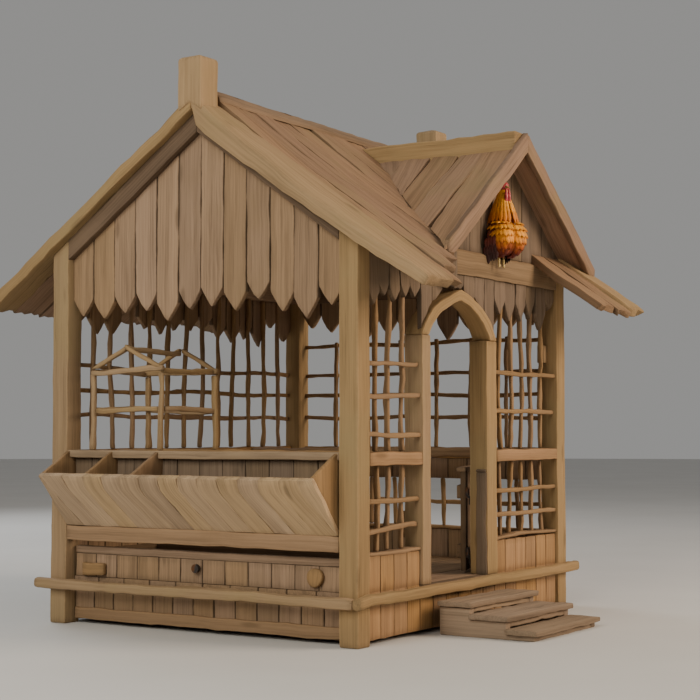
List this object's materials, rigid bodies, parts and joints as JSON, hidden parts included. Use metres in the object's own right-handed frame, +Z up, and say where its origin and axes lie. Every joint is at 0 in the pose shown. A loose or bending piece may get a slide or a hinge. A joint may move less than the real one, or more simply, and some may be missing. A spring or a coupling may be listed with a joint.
{
  "type": "chicken coop",
  "caption": "Gabled timber chicken coop with a dormer over its door, stick lattice windows, a feed trough and a pull-out litter tray.",
  "frame": {"origin": "on the ground under the middle of the floor, on the underside of the centre skid", "axes": "+Z up, -Y out of the door side, -X out of the gable with the trough, X along the ridge"},
  "size_m": [2.213, 2.4534, 2.41],
  "materials": {
    "post_wood": "weathered, sawn",
    "board_wood": "weathered, sawn",
    "roof_wood": "weathered, hewn",
    "door_side_wood": "weathered, sawn",
    "inner_wood": "dark, dusty",
    "iron": "rusted black",
    "rooster_paint": "painted, satin",
    "comb_paint": "painted, satin"
  },
  "bodies": {
    "coop": {"post_front_left": "post_wood", "post_front_right": "post_wood", "post_back_left": "post_wood", "post_back_right": "post_wood", "centre_skid": "inner_wood", "sills": "board_wood", "floor_joists": "inner_wood", "floor_boards": "board_wood", "ledge_rails": "post_wood", "plinth_boards_front": "door_side_wood", "plinth_boards_left": "board_wood", "plinth_boards_rear": "board_wood", "dado_boards_front": "door_side_wood", "dado_boards_rear": "board_wood", "window_rails": "door_side_wood", "lattice_front_left": "board_wood", "lattice_front_right": "board_wood", "lattice_back": "inner_wood", "lattice_right": "inner_wood", "valance_front": "roof_wood", "valance_back": "inner_wood", "gable_boards_left": "board_wood", "gable_boards_right": "board_wood", "wall_plate_front": "door_side_wood", "wall_plate_back": "board_wood", "ridge_beam": "inner_wood", "purlins": "inner_wood", "gable_frames": "inner_wood", "roof_planks_front": "roof_wood", "roof_planks_back": "roof_wood", "verge_planks": "post_wood", "ridge_cap": "roof_wood", "finials": "post_wood", "dormer_ridge_beam": "post_wood", "dormer_planks": "roof_wood", "dormer_barge_boards": "post_wood", "dormer_gable_boards": "board_wood", "rooster_body": "rooster_paint", "rooster_comb": "comb_paint", "door_jambs": "post_wood", "door_arch": "post_wood", "door_pintles": "iron", "door_button_screw": "iron", "trough_rail": "post_wood", "trough_beam": "door_side_wood", "trough_front": "post_wood", "trough_ends": "board_wood", "trough_back": "inner_wood", "feeder_cage": "post_wood", "roost_perches": "board_wood", "step_stringers": "board_wood", "step_boards": "roof_wood"},
    "door": {"door_boards": "inner_wood", "door_ledges": "board_wood", "door_straps": "iron"},
    "turn_button": {"door_button": "board_wood"},
    "litter_tray": {"tray_front": "board_wood", "tray_box": "inner_wood", "tray_pulls": "post_wood", "tray_knob": "iron"}
  },
  "joints": [
    {"name": "door_swing", "type": "hinge", "parent": "coop", "child": "door", "pos_m": [0.134, -0.695, 0.435], "axis": [0, 0, 1], "range_deg": [-5, 160]},
    {"name": "button_turn", "type": "hinge", "parent": "coop", "child": "turn_button", "pos_m": [-0.4, -0.692, 0.45], "axis": [0, 1, 0], "range_deg": [-90, 90]},
    {"name": "tray_slide", "type": "slide", "parent": "coop", "child": "litter_tray", "axis": [-1, 0, 0], "range_m": [0, 0.4]}
  ]
}
